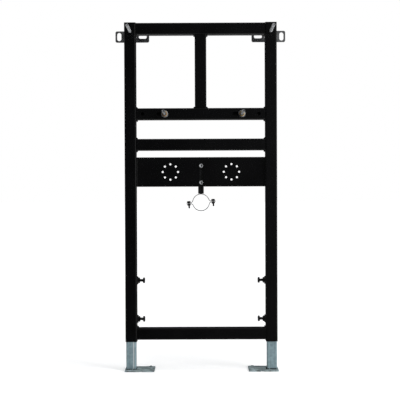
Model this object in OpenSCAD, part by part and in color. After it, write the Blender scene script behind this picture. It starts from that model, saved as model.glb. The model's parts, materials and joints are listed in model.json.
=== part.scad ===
// Washbasin installation frame for a stud wall or a front-wall lining.
// Welded square steel tube with telescopic legs, wall brackets on threaded rods,
// a tap plate with two rosettes of holes and a height-adjustable drain clamp.
// Millimetres. Z up, the wall is at +Y, the front of the tubes is the plane Y = 0.

/* [Frame] */
// Overall width of the welded frame
frame_w = 525; // [480:5:600]
// Height of the two posts
post_h = 1098; // [1060:2:1160]
// Side of the square tube
tube = 40; // [38:1:45]
// Wall thickness of the square tube
tube_t = 2; // [1.5:0.5:3]
// Outer corner radius of the square tube
tube_r = 4; // [3:0.5:6]
// Leg of the weld fillet where two tubes meet
weld_r = 6.5; // [4:0.5:8]

/* [Heights above the floor] */
// Gap between the floor and the lower end of the posts
leg_out = 100; // [60:5:200]
// Centre of the bottom rail above the lower end of the posts
rail_bottom_h = 27; // [24:0.5:60]
// Centre of the middle rail above the lower end of the posts
rail_middle_h = 679.5; // [660:0.5:700]
// Centre of the basin rail above the lower end of the posts
rail_basin_h = 785; // [760:1:820]
// Centre of the tap plate above the lower end of the posts
plate_up = 585.5; // [560:0.5:600]

/* [Tap plate] */
// Height of the tap plate
plate_h = 102; // [90:1:120]
// Thickness of the sheet
plate_t = 2.5; // [2:0.5:4]
// Depth of the folded edges of the sheet
plate_fold = 14; // [8:1:20]
// Depth of the sheet behind the front of the tubes
plate_y = 14; // [6:1:20]
// Distance between the centres of the two rosettes
rosette_gap = 211; // [150:1:260]
// Pitch circle of the holes of a rosette
rosette_pcd = 53; // [46:1:60]
// Diameter of each rosette hole
rosette_hole = 7; // [5:0.5:9]
// Number of holes of a rosette
rosette_n = 8; // [6:1:10]

/* [Drain] */
// Centre of the drain clamp above the lower end of the posts
clamp_up = 480; // [440:1:500]
// Inside radius of the drain clamp
clamp_r = 28; // [25:0.5:32]
// Thickness of the clamp band
clamp_t = 2; // [1.5:0.5:3]
// Width of the clamp band
clamp_w = 20; // [15:1:25]
// Radius of the flare where the band turns out into its ears
clamp_flare = 9; // [6:0.5:12]
// Turn of the clamp out of level
clamp_turn = 5; // [0:1:8]
// Width of the sliding drain bar
bar_w = 19.5; // [16:0.5:24]
// Distance between the two bolts of the drain bar
bar_bolt_gap = 58; // [50:1:70]

/* [Basin studs] */
// Distance of the left stud from the middle of the frame
stud_left_x = 124; // [114.5:0.1:145.5]
// Distance of the right stud from the middle of the frame
stud_right_x = 141.6; // [114.5:0.1:145.5]
// Length of a stud in front of the rail
stud_out = 140; // [60:5:160]
// Distance of the middle of each stud slot from the middle of the frame
stud_slot_x = 130; // [120:1:140]
// Length of each stud slot
stud_slot_len = 42; // [30:1:50]
// Distance of the spare holes from the middle of the frame
spare_x = 200; // [175:1:205]

/* [Wall brackets] */
// Height of the wall rods below the top of the posts
rod_drop = 29; // [20:0.5:60]
// Diameter of the wall rods
rod_d = 10; // [8:1:12]
// Distance of the wall from the front of the frame
wall_y = 140; // [90:5:200]
// Length of the wall rods
rod_len = 280; // [240:5:340]
// Width of a wall bracket
bracket_w = 120; // [100:1:140]
// Height of a wall bracket
bracket_h = 40; // [34:1:46]
// Thickness of a wall bracket
bracket_t = 4; // [3:0.5:5]

/* [Legs and feet] */
// Play of a leg tube inside its post
leg_play = 2; // [1:0.5:8]
// Wall thickness of the leg tube
leg_t = 2; // [1.5:0.5:3]
// Length of the leg tube
leg_len = 430; // [380:5:460]
// Width of a foot plate
foot_w = 102; // [80:1:120]
// Depth of a foot plate
foot_d = 98; // [80:1:120]
// Distance of the middle of a foot plate behind the middle of its leg
foot_back = 5; // [0:1:10]
// Thickness of a foot plate
foot_t = 4; // [3:0.5:6]
// Diameter of the anchor hole of a foot plate
foot_hole_d = 14; // [10:1:18]
// Height of the lower lock bolt above the lower end of the posts
lock_low_h = 77.5; // [70:0.5:100]
// Height of the upper lock bolt above the lower end of the posts
lock_high_h = 211; // [180:0.5:240]

/* [Hidden] */
$fn = 64;

// Clear distance left around a sliding rod or bolt
fit = 0.3;
// Overlap of a cut beyond the surface that it opens
eps = 1;

z0 = leg_out;
post_top = z0 + post_h;
post_x = frame_w / 2 - tube / 2;
mid_y = tube / 2;
rail_len = frame_w - 2 * tube;
weld_len = tube - 2 * tube_r;
rail_top_z = post_top - tube / 2;
rail_basin_z = z0 + rail_basin_h;
rail_middle_z = z0 + rail_middle_h;
rail_bottom_z = z0 + rail_bottom_h;
plate_z = z0 + plate_up;
clamp_z = z0 + clamp_up;
rod_z = post_top - rod_drop;
lock_low_z = z0 + lock_low_h;
lock_high_z = z0 + lock_high_h;

// The leg is pressed to the outer wall of its post by the lock bolts
leg_side = tube - 2 * tube_t - leg_play;
leg_x = frame_w / 2 - tube_t - fit - leg_side / 2;
leg_inner_x = leg_x - leg_side / 2;
leg_r = 3;

// Bolt sizes: diameter, across flats and height of the nut
m10_d = 10;
m10_af = 17;
m10_nut_h = 8;
m8_d = 8;
m8_af = 13;
m8_head_h = 5.3;
m6_d = 6;
m6_af = 10;
m6_nut_h = 5;
// Hexagon socket in the free ends of rods and studs
socket_af = 5;
socket_deep = 6;

module rounded(w, h, r) {
    union() {
        square([w - 2 * r, h], center = true);
        square([w, h - 2 * r], center = true);
        for (sx = [-1, 1], sy = [-1, 1])
            translate([sx * (w / 2 - r), sy * (h / 2 - r)]) circle(r);
    }
}

module tube_section(side, wall, r) {
    difference() {
        rounded(side, side, r);
        rounded(side - 2 * wall, side - 2 * wall, r - wall);
    }
}

module slot(len, d) {
    union() {
        square([len - d, d], center = true);
        for (s = [-1, 1]) translate([s * (len - d) / 2, 0]) circle(d / 2);
    }
}

module hexagon(af) {
    circle(af / cos(30) / 2, $fn = 6);
}

// A cylinder along Y from y1 to y2
module rod_y(d, y1, y2) {
    translate([0, y2, 0]) rotate([90, 0, 0]) cylinder(d = d, h = y2 - y1);
}

// A cylinder along X from x1 to x2
module rod_x(d, x1, x2) {
    translate([x1, 0, 0]) rotate([0, 90, 0]) cylinder(d = d, h = x2 - x1);
}

// Section of a concave weld in a corner, square edges at the origin
module weld_section(r) {
    difference() {
        square(r);
        translate([r, r]) circle(r);
    }
}

// The same weld along Y, standing on the plane Z = 0 against the plane X = 0
module weld_y(len, r) {
    translate([0, len / 2, 0]) rotate([90, 0, 0]) linear_extrude(len) weld_section(r);
}

module post(s) {
    color("#1b1c1f")
    difference() {
        translate([s * post_x, mid_y, z0]) linear_extrude(post_h) tube_section(tube, tube_t, tube_r);
        translate([s * post_x, 0, rod_z]) rod_y(rod_d + 2 * fit, -eps, tube + eps);
        for (z = [lock_low_z, lock_high_z])
            translate([s * (post_x - tube / 2), mid_y, z])
                rod_x(m10_d + 2 * fit, -tube_t - eps, tube_t + eps);
    }
}

// A rail between the posts; up and down say on which sides it has welds
module rail(z, up, down) {
    color("#1b1c1f")
    translate([0, mid_y, z])
    union() {
        translate([-rail_len / 2, 0, 0]) rotate([90, 0, 90]) linear_extrude(rail_len)
            tube_section(tube, tube_t, tube_r);
        for (s = [-1, 1]) {
            if (up) translate([s * rail_len / 2, 0, tube / 2])
                mirror([s > 0 ? 1 : 0, 0, 0]) weld_y(weld_len, weld_r);
            if (down) translate([s * rail_len / 2, 0, -tube / 2]) mirror([0, 0, 1])
                mirror([s > 0 ? 1 : 0, 0, 0]) weld_y(weld_len, weld_r);
        }
    }
}

stud_slot_h = 11;
spare_d = 12;

// Level slots for the studs and two spare round holes, all in the front wall
module rail_basin() {
    color("#1b1c1f")
    difference() {
        rail(rail_basin_z, true, true);
        for (s = [-1, 1]) {
            translate([s * stud_slot_x, tube_t + eps, rail_basin_z]) rotate([90, 0, 0])
                linear_extrude(tube_t + 2 * eps) slot(stud_slot_len, stud_slot_h);
            translate([s * spare_x, 0, rail_basin_z]) rod_y(spare_d, -eps, tube_t + eps);
        }
    }
}

module mullion() {
    mullion_low = rail_basin_z + tube / 2;
    mullion_high = rail_top_z - tube / 2;
    color("#1b1c1f")
    translate([0, mid_y, 0])
    union() {
        translate([0, 0, mullion_low]) linear_extrude(mullion_high - mullion_low)
            tube_section(tube, tube_t, tube_r);
        for (s = [-1, 1]) {
            translate([s * tube / 2, 0, mullion_low])
                mirror([s < 0 ? 1 : 0, 0, 0]) weld_y(weld_len, weld_r);
            translate([s * tube / 2, 0, mullion_high]) mirror([0, 0, 1])
                mirror([s < 0 ? 1 : 0, 0, 0]) weld_y(weld_len, weld_r);
        }
    }
}

plate_r = 3;
plate_weld_r = 4;
plate_weld_len = 92;
bar_slot_w = 8.6;
bar_up = 8;
bar_down = 4;
bar_side_gap = 1.5;

// Folded sheet: front web with its upper and lower edges folded back, welded to the posts in front
module tap_plate() {
    slot_low = bolt_low_z - m8_d / 2 - bar_down - bar_gap;
    slot_high = bolt_high_z + m8_d / 2 + bar_up + bar_gap;
    notch_w = bar_w + 2 * bar_side_gap;
    color("#1b1c1f")
    difference() {
        union() {
            translate([-rail_len / 2, plate_y, plate_z]) rotate([90, 0, 90]) linear_extrude(rail_len)
                difference() {
                    union() {
                        translate([plate_fold / 2, 0]) rounded(plate_fold, plate_h, plate_r);
                        translate([plate_fold / 2 + plate_r / 2, 0])
                            square([plate_fold - plate_r, plate_h], center = true);
                    }
                    translate([plate_fold / 2 + plate_t, 0])
                        square([plate_fold, plate_h - 2 * plate_t], center = true);
                }
            for (s = [-1, 1])
                translate([s * rail_len / 2, plate_y, plate_z - plate_weld_len / 2])
                    mirror([s > 0 ? 1 : 0, 0, 0]) mirror([0, 1, 0])
                    linear_extrude(plate_weld_len) weld_section(plate_weld_r);
        }
        for (sx = [-1, 1], i = [0 : rosette_n - 1])
            translate([sx * rosette_gap / 2, plate_y, plate_z])
                rotate([0, i * 360 / rosette_n, 0]) translate([rosette_pcd / 2, 0, 0])
                    rod_y(rosette_hole, -eps, plate_t + eps);
        translate([0, plate_y + plate_t + eps, (slot_low + slot_high) / 2]) rotate([90, 90, 0])
            linear_extrude(plate_t + 2 * eps) slot(slot_high - slot_low, bar_slot_w);
        translate([-notch_w / 2, plate_y + plate_t, plate_z - plate_h / 2 - eps])
            cube([notch_w, plate_fold, plate_t + 2 * eps]);
    }
}

cap_t = 1.7;
cap_plug_h = 12;
cap_plug_t = 2;
cap_plug_r = 3;

module post_cap(s) {
    color("#141416")
    translate([s * post_x, mid_y, post_top])
    union() {
        linear_extrude(cap_t) rounded(tube, tube, tube_r);
        translate([0, 0, -cap_plug_h]) linear_extrude(cap_plug_h)
            tube_section(tube - 2 * tube_t - 2 * fit, cap_plug_t, cap_plug_r);
    }
}

module leg(s) {
    color("#9aa7ae")
    translate([s * leg_x, mid_y, foot_t]) linear_extrude(leg_len - foot_t)
        tube_section(leg_side, leg_t, leg_r);
}

foot_out = 2;
foot_r = 3;
foot_hole_x = 180;
foot_notch_x = 207;
foot_notch_r = 5;
foot_rib_x = 178;
foot_rib_r = 9;
foot_rib_up = 2.4;
foot_rib_len = 12;
foot_weld_r = 3;

// Plate with an anchor hole, a notch in front, a pressed rib at the back and welds round the leg
module foot(s) {
    foot_x = frame_w / 2 + foot_out - foot_w / 2;
    foot_y = mid_y + foot_back;
    color("#9aa7ae")
    difference() {
        union() {
            translate([s * foot_x, foot_y, 0]) linear_extrude(foot_t) rounded(foot_w, foot_d, foot_r);
            translate([s * foot_rib_x, foot_y + foot_d / 2, 0]) rotate([90, 0, 0])
                linear_extrude(foot_rib_len)
                intersection() {
                    translate([0, foot_t + foot_rib_up - foot_rib_r]) circle(foot_rib_r);
                    translate([-foot_rib_r, foot_t / 2]) square([2 * foot_rib_r, foot_rib_r]);
                }
            translate([s * leg_x, mid_y, foot_t])
                for (a = [0 : 90 : 270])
                    rotate(a) translate([leg_side / 2, 0, 0])
                        weld_y(leg_side - 2 * leg_r, foot_weld_r);
        }
        translate([s * foot_hole_x, mid_y, -eps]) cylinder(d = foot_hole_d, h = foot_t + 2 * eps);
        translate([s * foot_notch_x, foot_y - foot_d / 2, -eps])
            cylinder(r = foot_notch_r, h = foot_t + 2 * eps);
    }
}

boss_d = 28;
boss_t = 4.5;
lock_nut_t = 6;

module lock_nut(s, z) {
    color("#1b1c1f")
    translate([s * (post_x - tube / 2), mid_y, z]) mirror([s > 0 ? 1 : 0, 0, 0])
    difference() {
        union() {
            rod_x(boss_d, 0, boss_t);
            translate([boss_t, 0, 0]) rotate([0, 90, 0]) linear_extrude(lock_nut_t) hexagon(m10_af);
        }
        rod_x(m10_d + 2 * fit, -eps, boss_t + lock_nut_t + eps);
    }
}

lock_neck = 10;
lock_head_t = 7;

// The tip of the bolt stops against the leg
module lock_bolt(s, z) {
    shank_from = (post_x - tube / 2) - leg_inner_x + fit;
    head_at = boss_t + lock_nut_t + lock_neck;
    color("#202124")
    translate([s * (post_x - tube / 2), mid_y, z]) mirror([s > 0 ? 1 : 0, 0, 0])
    union() {
        rod_x(m10_d, shank_from, head_at);
        translate([head_at, 0, 0]) rotate([0, 90, 0]) linear_extrude(lock_head_t) hexagon(m10_af);
    }
}

bracket_r = 6;
rim_outer = 6;
rim_inner = 8.5;
slot_outer_w = 15;
slot_outer_h = 29;
slot_inner_w = 28.5;
slot_inner_h = 13;
slot_mid_w = 30;
slot_mid_h = 11;

// Outer end with an upright slot, inner end with a level slot, the rod in a level middle slot
module wall_bracket(s) {
    color("#b9bec2")
    translate([s * post_x, wall_y, rod_z]) mirror([s < 0 ? 1 : 0, 0, 0])
    rotate([90, 0, 0]) linear_extrude(bracket_t)
    difference() {
        rounded(bracket_w, bracket_h, bracket_r);
        translate([bracket_w / 2 - rim_outer - slot_outer_w / 2, 0])
            rotate(90) slot(slot_outer_h, slot_outer_w);
        translate([-bracket_w / 2 + rim_inner + slot_inner_w / 2, 0]) slot(slot_inner_w, slot_inner_h);
        slot(slot_mid_w, slot_mid_h);
    }
}

module wall_rod(s) {
    color("#c3c7ca")
    translate([s * post_x, 0, rod_z])
    difference() {
        rod_y(rod_d, wall_y - rod_len, wall_y);
        translate([0, wall_y - rod_len + socket_deep, 0]) rotate([90, 0, 0])
            linear_extrude(socket_deep + eps) hexagon(socket_af);
    }
}

module rod_nut(s) {
    color("#1b1c1f")
    translate([s * post_x, tube + m10_nut_h, rod_z]) rotate([90, 0, 0]) linear_extrude(m10_nut_h)
    difference() {
        hexagon(m10_af);
        circle(d = rod_d + 2 * fit);
    }
}

flange_d = 22;
flange_t = 2;

module bracket_nut(s) {
    color("#c3c7ca")
    translate([s * post_x, wall_y - bracket_t, rod_z]) rotate([90, 0, 0])
    difference() {
        union() {
            cylinder(d = flange_d, h = flange_t);
            linear_extrude(m10_nut_h + flange_t) hexagon(m10_af);
        }
        translate([0, 0, -eps]) cylinder(d = rod_d + 2 * fit, h = m10_nut_h + flange_t + 2 * eps);
    }
}

bar_t = 3;
bar_depth = 14;
bar_r = 3;
bar_bead_w = 5;
bar_bead_deep = 1;
bar_over_bolt = 14;
bar_gap = 0.5;
bar_inner_w = m8_af;
bar_y = plate_y + plate_t + bar_gap;
bolt_high_z = plate_z + 21.2;
bolt_low_z = bolt_high_z - bar_bolt_gap;
clamp_nut_h = 8;
clamp_mid_y = bar_y + bar_t + 1 + m8_af / cos(30) / 2;
clamp_nut_z = clamp_z + clamp_r + clamp_t;

// Channel behind the tap plate, web to the front, with a pressed bead down its middle
module drain_bar() {
    bar_low_z = clamp_nut_z + bar_gap;
    bar_top_z = bolt_high_z + bar_over_bolt;
    color("#202124")
    difference() {
        translate([0, 0, bar_low_z]) linear_extrude(bar_top_z - bar_low_z)
            difference() {
                translate([0, bar_y + bar_depth / 2]) rounded(bar_w, bar_depth, bar_r);
                translate([0, bar_y + bar_t + bar_depth / 2])
                    square([bar_inner_w, bar_depth], center = true);
                translate([0, bar_y]) square([bar_bead_w, 2 * bar_bead_deep], center = true);
            }
        for (z = [bolt_low_z, bolt_high_z])
            translate([0, bar_y, z]) rod_y(m8_d + fit, -eps, bar_t + eps);
    }
}

bolt_flange_d = 15;
bolt_flange_t = 1.2;
bolt_tail = 7;

// Hexagon bolt with a flange, its shank screwed into the bar
module drain_bolt(z) {
    head_y = plate_y - bar_gap;
    color("#c3c7ca")
    translate([0, 0, z])
    union() {
        rod_y(bolt_flange_d, head_y - bolt_flange_t, head_y);
        translate([0, head_y, 0]) rotate([90, 0, 0])
            linear_extrude(bolt_flange_t + m8_head_h) hexagon(m8_af);
        rod_y(m8_d, head_y - bolt_flange_t, bar_y + bar_t + bolt_tail);
    }
}

// Nut on the crown of the clamp, held between the flanges of the bar
module clamp_nut() {
    color("#202124")
    translate([0, clamp_mid_y, clamp_nut_z]) linear_extrude(clamp_nut_h) rotate(30) hexagon(m8_af);
}

ear_gap = 1.2;
ear_end = 50;
ear_hole_x = 42.2;
ear_hole_d = 6.6;
band_mid_r = clamp_r + clamp_t / 2;
flare_z = ear_gap / 2 + clamp_t / 2 + clamp_flare;
flare_x = sqrt(pow(band_mid_r + clamp_flare, 2) - pow(flare_z, 2));
flare_a = atan2(flare_z, flare_x);
// The flare is this much thinner on each face, so that its ends lie inside the band and the ear
flare_thin = 0.02;
flare_lap_a = 3;
ear_lap = 0.5;

// A band of middle radius r and thickness t between two angles less than a half turn apart
module band_arc(r, t, a1, a2) {
    reach = 5 * r;
    mid = (a1 + a2) / 2;
    intersection() {
        difference() {
            circle(r + t / 2);
            circle(r - t / 2);
        }
        polygon([[0, 0], [reach * cos(a1), reach * sin(a1)], [reach * cos(mid), reach * sin(mid)],
                 [reach * cos(a2), reach * sin(a2)]]);
    }
}

// Half of the clamp: a round band that flares out into an ear at each end; side is 1 above, -1 below
module clamp_half(side) {
    color("#b9bec2")
    translate([0, clamp_mid_y + clamp_w / 2, clamp_z]) rotate([90, 0, 0])
    rotate(clamp_turn) mirror([0, side > 0 ? 0 : 1, 0])
    difference() {
        union() {
            linear_extrude(clamp_w) band_arc(band_mid_r, clamp_t, flare_a, 180 - flare_a);
            for (s = [0, 1]) mirror([s, 0, 0]) {
                translate([flare_x, flare_z, 0]) linear_extrude(clamp_w)
                    band_arc(clamp_flare, clamp_t - 2 * flare_thin, 180 + flare_a - flare_lap_a, 270);
                translate([flare_x - ear_lap, ear_gap / 2, 0])
                    cube([ear_end - flare_x + ear_lap, clamp_t, clamp_w]);
            }
        }
        for (s = [-1, 1])
            translate([s * ear_hole_x, ear_gap / 2 + clamp_t + eps, clamp_w / 2]) rotate([90, 0, 0])
                cylinder(d = ear_hole_d, h = clamp_t + 2 * eps);
    }
}

screw_head_d = 12;
screw_head_h = 4.5;
screw_tail = 17;

// Screw through both ears, its head on the upper ear and its nut under the lower one
module clamp_screw(s) {
    ear_out = ear_gap / 2 + clamp_t;
    color("#202124")
    translate([0, clamp_mid_y, clamp_z]) rotate([0, -clamp_turn, 0])
    translate([s * ear_hole_x, 0, 0])
    union() {
        translate([0, 0, ear_out]) cylinder(d = screw_head_d, h = screw_head_h);
        translate([0, 0, -screw_tail]) cylinder(d = m6_d, h = screw_tail + ear_out + eps);
        translate([0, 0, -ear_out - m6_nut_h]) linear_extrude(m6_nut_h) hexagon(m6_af);
    }
}

washer_d = 24;
washer_t = 2.5;
stud_head_w = 10;
stud_head_h = 24;
stud_head_t = 5;
stud_neck_d = 9.4;
stud_neck_y = washer_t + m10_nut_h + 1.5;

// Hammer-head stud with a plain neck: the head stands upright behind the slot of the rail
module basin_stud(x) {
    color("#c3c7ca")
    translate([x, 0, rail_basin_z])
    difference() {
        union() {
            rod_y(m10_d, -stud_out, -stud_neck_y);
            rod_y(stud_neck_d, -stud_neck_y - eps, tube_t + stud_head_t);
            translate([-stud_head_w / 2, tube_t, -stud_head_h / 2])
                cube([stud_head_w, stud_head_t, stud_head_h]);
        }
        translate([0, -stud_out + socket_deep, 0]) rotate([90, 0, 0])
            linear_extrude(socket_deep + eps) hexagon(socket_af);
    }
}

module basin_washer(x) {
    color("#c3c7ca")
    translate([x, 0, rail_basin_z]) rotate([90, 0, 0]) linear_extrude(washer_t)
    difference() {
        circle(d = washer_d);
        circle(d = m10_d + 2 * fit);
    }
}

module basin_nut(x) {
    color("#b08d3c")
    translate([x, -washer_t, rail_basin_z]) rotate([90, 0, 0]) linear_extrude(m10_nut_h)
    difference() {
        hexagon(m10_af);
        circle(d = m10_d + 2 * fit);
    }
}

post(-1);  // post_left
post(1);  // post_right
rail(rail_top_z, false, true);  // rail_top
rail_basin();
rail(rail_middle_z, true, true);  // rail_middle
rail(rail_bottom_z, true, false);  // rail_bottom
mullion();
tap_plate();
post_cap(-1);  // post_cap_left
post_cap(1);  // post_cap_right
leg(-1);  // leg_left
leg(1);  // leg_right
foot(-1);  // foot_left
foot(1);  // foot_right
lock_nut(-1, lock_low_z);  // lock_nut_left_low
lock_nut(-1, lock_high_z);  // lock_nut_left_high
lock_nut(1, lock_low_z);  // lock_nut_right_low
lock_nut(1, lock_high_z);  // lock_nut_right_high
lock_bolt(-1, lock_low_z);  // lock_bolt_left_low
lock_bolt(-1, lock_high_z);  // lock_bolt_left_high
lock_bolt(1, lock_low_z);  // lock_bolt_right_low
lock_bolt(1, lock_high_z);  // lock_bolt_right_high
wall_bracket(-1);  // wall_bracket_left
wall_bracket(1);  // wall_bracket_right
wall_rod(-1);  // wall_rod_left
wall_rod(1);  // wall_rod_right
rod_nut(-1);  // rod_nut_left
rod_nut(1);  // rod_nut_right
bracket_nut(-1);  // bracket_nut_left
bracket_nut(1);  // bracket_nut_right
drain_bar();
drain_bolt(bolt_high_z);  // drain_bolt_upper
drain_bolt(bolt_low_z);  // drain_bolt_lower
clamp_nut();
clamp_half(1);  // clamp_upper
clamp_half(-1);  // clamp_lower
clamp_screw(-1);  // clamp_screw_left
clamp_screw(1);  // clamp_screw_right
basin_stud(-stud_left_x);  // basin_stud_left
basin_stud(stud_right_x);  // basin_stud_right
basin_washer(-stud_left_x);  // basin_washer_left
basin_washer(stud_right_x);  // basin_washer_right
basin_nut(-stud_left_x);  // basin_nut_left
basin_nut(stud_right_x);  // basin_nut_right
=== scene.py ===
"""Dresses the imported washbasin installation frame: a finish for every solid, cut threads, nuts,
bolts, weld beads and rounded stampings, in a plain pale studio. Metres, Z up, the front of the
frame faces -Y."""

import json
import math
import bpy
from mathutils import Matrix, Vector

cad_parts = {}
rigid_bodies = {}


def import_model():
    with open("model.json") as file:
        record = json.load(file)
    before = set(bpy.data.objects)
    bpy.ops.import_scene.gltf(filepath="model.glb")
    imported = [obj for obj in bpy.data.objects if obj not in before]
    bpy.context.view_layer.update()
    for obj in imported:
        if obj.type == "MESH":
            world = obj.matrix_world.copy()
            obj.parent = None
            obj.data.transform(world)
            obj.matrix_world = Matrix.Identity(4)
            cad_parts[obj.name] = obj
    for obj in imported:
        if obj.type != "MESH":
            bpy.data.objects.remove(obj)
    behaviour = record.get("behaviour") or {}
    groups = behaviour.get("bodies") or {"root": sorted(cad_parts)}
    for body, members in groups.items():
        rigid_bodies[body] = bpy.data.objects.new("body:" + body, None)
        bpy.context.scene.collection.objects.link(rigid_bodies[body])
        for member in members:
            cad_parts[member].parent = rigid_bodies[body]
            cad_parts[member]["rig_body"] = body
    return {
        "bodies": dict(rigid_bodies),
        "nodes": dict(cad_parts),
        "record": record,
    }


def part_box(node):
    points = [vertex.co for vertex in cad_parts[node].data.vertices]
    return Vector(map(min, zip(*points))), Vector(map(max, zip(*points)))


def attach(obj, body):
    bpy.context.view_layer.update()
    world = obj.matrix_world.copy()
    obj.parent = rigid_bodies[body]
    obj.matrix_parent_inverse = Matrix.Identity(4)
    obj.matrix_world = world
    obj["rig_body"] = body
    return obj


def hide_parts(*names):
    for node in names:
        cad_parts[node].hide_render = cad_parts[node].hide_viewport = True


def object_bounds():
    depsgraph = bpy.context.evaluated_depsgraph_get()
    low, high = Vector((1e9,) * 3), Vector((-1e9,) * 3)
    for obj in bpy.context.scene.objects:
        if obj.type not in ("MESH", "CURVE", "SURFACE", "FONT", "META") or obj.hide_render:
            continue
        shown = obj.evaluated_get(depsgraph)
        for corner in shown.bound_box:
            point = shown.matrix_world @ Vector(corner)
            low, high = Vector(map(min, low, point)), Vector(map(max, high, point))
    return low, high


bl_info = {
    "name": "Washbasin Installation Frame",
    "version": (1, 0, 0),
    "blender": (4, 5, 0),
    "location": "3D Viewport > Sidebar > Basin Frame",
    "description": "Finishes, threads, fasteners, welds and studio for a washbasin installation frame",
    "category": "Object",
}

import bmesh
import bpy
from bpy.props import FloatProperty, FloatVectorProperty, IntProperty, PointerProperty
from mathutils import Matrix, Vector

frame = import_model()
CAD_LOW, CAD_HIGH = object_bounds()

SLOTS = {row["node"]: row["material_slot"] for row in frame["record"]["subparts"]}

# Sizes of the solids that the pieces repeat, in metres. Frame, legs and feet:
TUBE = 0.040
POST_INNER = 0.2225
WELD_LEG = 0.0065
PLATE_FRONT = 0.014
PLATE_WELD_LEN = 0.092
LEG_SIDE = 0.034
LEG_CORNER = 0.003
LEG_TRAVEL_IN = 0.085
# X of the painted highlight stripe down the left leg:
LEG_HIGHLIGHT_X = -0.2345
FOOT_THICK = 0.004
# Bolts and nuts:
M10, M8, M6 = 0.010, 0.008, 0.006
M10_FLATS, M8_FLATS, M6_FLATS = 0.017, 0.013, 0.010
SOCKET_FLATS = 0.005
SOCKET_DEEP = 0.006
SLIDE_GAP = 0.0001
# Pipe clamp:
CLAMP_CENTRE = Vector((0.0, 0.0285, 0.580))
CLAMP_TURN = math.radians(5)
EAR_OUT = 0.0026
EAR_HOLE_X = 0.0422
SCREW_HEAD = 0.0055
SCREW_SOCKET = 0.004
SCREW_TAIL = 0.017

# How meshes are made: points round a circle and rows in one turn of a thread, the slope of a
# chamfered corner, the flat face of a nut as a share of its flats, how far a small edge goes in and
# up, how far one shape reaches into the next, when two points of a solid are one and two of its
# faces lie in one plane, and the angles in degrees past which an edge stays sharp
ROUND_STEPS = 48
THREAD_ROWS = 6
CHAMFER = math.tan(math.radians(30))
FACE_SHARE = 0.475
EDGE_IN, EDGE_UP = 0.0002, 0.0003
OVERLAP = 0.001
SAME_POINT, SAME_PLANE = 0.000005, math.radians(0.6)
NUT_CREASE, SHEET_CREASE, SCREW_CREASE, THREAD_CREASE = 32, 35, 50, 60
FORWARD = (0, -1, 0)

# The studio's lamps, each with its size, azimuth, elevation and distance, and its floor, which
# glows from the first to the second strength between the distances that follow
LAMPS = (("key", (1.2, 2.2), 52, 14, 2.3), ("fill", (1.2, 2.2), -62, 12, 3.2),
         ("top", (2.0, 1.6), 10, 82, 2.4), ("rear_right", (1.2, 2.2), 140, 20, 3.4),
         ("rear_left", (1.2, 2.2), -135, 20, 3.4))
FLOOR_REACH = 40.0
FLOOR_DROP = 0.0004
FLOOR_VEIL = (0.36, 0.79, 0.8, 4.5)


# ---------------------------------------------------------------- settings
class BasinFrameFinishes(bpy.types.PropertyGroup):
    coat: FloatVectorProperty(
        name="Powder coat", description="Colour of the black powder coat", subtype="COLOR",
        size=4, min=0, max=1, default=(0.0012, 0.0012, 0.0014, 1))
    # The lighter colour on the coat's edges is a painted highlight.
    coat_edge_highlight: FloatVectorProperty(
        name="Painted edge highlight", description="Colour of the coat's edges, a painted highlight",
        subtype="COLOR", size=4, min=0, max=1, default=(0.0075, 0.0075, 0.0080, 1))
    plastic: FloatVectorProperty(
        name="Caps", description="Colour of the moulded post caps", subtype="COLOR",
        size=4, min=0, max=1, default=(0.0022, 0.0022, 0.0024, 1))
    steel: FloatVectorProperty(
        name="Black steel", description="Colour of the blackened bolts and of the drain bar",
        subtype="COLOR", size=4, min=0, max=1, default=(0.008, 0.008, 0.0085, 1))
    galvanised: FloatVectorProperty(
        name="Galvanised legs", description="Colour of the galvanised leg tubes", subtype="COLOR",
        size=4, min=0, max=1, default=(0.25, 0.345, 0.378, 1))
    foot: FloatVectorProperty(
        name="Foot plates", description="Colour of the dull zinc on the foot plates", subtype="COLOR",
        size=4, min=0, max=1, default=(0.246, 0.303, 0.312, 1))
    zinc: FloatVectorProperty(
        name="Bright zinc", description="Colour of the bright zinc plating", subtype="COLOR",
        size=4, min=0, max=1, default=(0.42, 0.43, 0.44, 1))
    yellow: FloatVectorProperty(
        name="Yellow zinc", description="Colour of the yellow passivated nuts", subtype="COLOR",
        size=4, min=0, max=1, default=(0.42, 0.335, 0.145, 1))


class BasinFrameDetails(bpy.types.PropertyGroup):
    pitch_m10: FloatProperty(
        name="M10 pitch", description="Distance from one thread to the next", unit="LENGTH",
        subtype="DISTANCE", default=0.0015, min=0.001, max=0.002, precision=5)
    pitch_m8: FloatProperty(
        name="M8 pitch", description="Distance from one thread to the next", unit="LENGTH",
        subtype="DISTANCE", default=0.00125, min=0.001, max=0.002, precision=5)
    pitch_m6: FloatProperty(
        name="M6 pitch", description="Distance from one thread to the next", unit="LENGTH",
        subtype="DISTANCE", default=0.001, min=0.0007, max=0.002, precision=5)
    thread_depth: FloatProperty(
        name="Thread depth", description="Depth of a thread as a share of its pitch",
        subtype="FACTOR", default=0.58, min=0.3, max=0.7)
    thread_around: IntProperty(
        name="Points around a thread", description="Points in one turn of a thread",
        default=24, min=12, max=48)
    ripple_gap: FloatProperty(
        name="Weld ripple", description="Distance from one ripple of a weld bead to the next",
        unit="LENGTH", subtype="DISTANCE", default=0.0022, min=0.001, max=0.005, precision=5)
    edge_round: FloatProperty(
        name="Rounded edges", description="Rounding on the edges of stamped sheet",
        unit="LENGTH", subtype="DISTANCE", default=0.0006, min=0.0001, max=0.0015, precision=5)


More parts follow.
